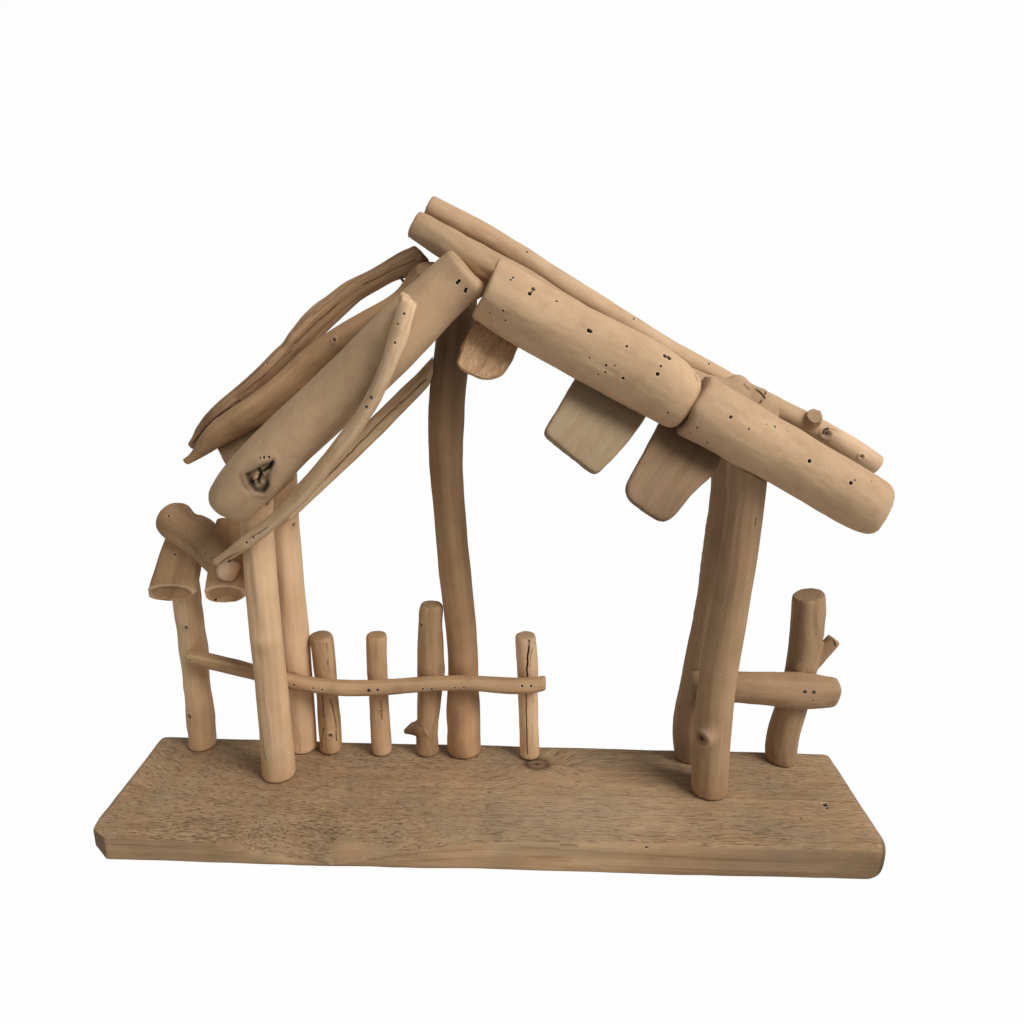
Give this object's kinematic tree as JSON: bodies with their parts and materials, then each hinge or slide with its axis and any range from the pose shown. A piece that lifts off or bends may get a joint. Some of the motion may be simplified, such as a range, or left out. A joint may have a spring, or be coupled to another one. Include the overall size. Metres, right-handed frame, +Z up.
{
  "type": "nativity stable",
  "caption": "Rustic nativity stable of driftwood sticks on a plank: gabled log roof on posts, picket fence, small side roof and braces, open at the front for crib figures",
  "frame": {"origin": "centre of the plank's underside", "axes": "+X along the plank to the right as seen from the open front, +Y to the back, +Z up"},
  "size_m": [0.404, 0.0867, 0.3278],
  "materials": {
    "plank_wood": "rough sawn, weathered",
    "post_wood": "bare driftwood, worn smooth",
    "brown_wood": "bare driftwood, darker",
    "pale_wood": "bare driftwood, worn smooth",
    "slat_wood": "weathered board",
    "fence_wood": "bare driftwood, cracked",
    "brace_wood": "bare driftwood, pale",
    "nail_steel": "dull wire",
    "screw_steel": "plain steel"
  },
  "bodies": {
    "root": {"base_plank": "plank_wood", "front_left_post": "post_wood", "rear_left_post": "post_wood", "far_left_post": "post_wood", "front_right_post": "post_wood", "rear_right_post": "post_wood", "far_right_post": "post_wood", "ridge_post": "brown_wood", "left_middle_branch": "brown_wood", "left_back_branch": "brown_wood", "wing_roof_log": "brown_wood", "wing_outer_slat": "brown_wood", "wing_inner_slat": "brown_wood", "right_upper_front_log": "pale_wood", "right_lower_front_log": "pale_wood", "right_middle_log": "pale_wood", "right_back_log": "pale_wood", "left_front_log": "pale_wood", "ridge_slat": "slat_wood", "middle_slat": "slat_wood", "lower_slat": "slat_wood", "left_eave_slat": "slat_wood", "fence_picket_1": "fence_wood", "fence_picket_2": "fence_wood", "fence_picket_3": "fence_wood", "fence_picket_4": "fence_wood", "left_fence_rail": "fence_wood", "right_fence_rail": "fence_wood", "front_brace": "brace_wood", "rear_brace": "brace_wood", "roof_brads": "nail_steel", "fence_brads": "nail_steel", "brace_brads": "nail_steel", "wing_brads": "nail_steel", "base_screws": "screw_steel"}
  },
  "joints": []
}
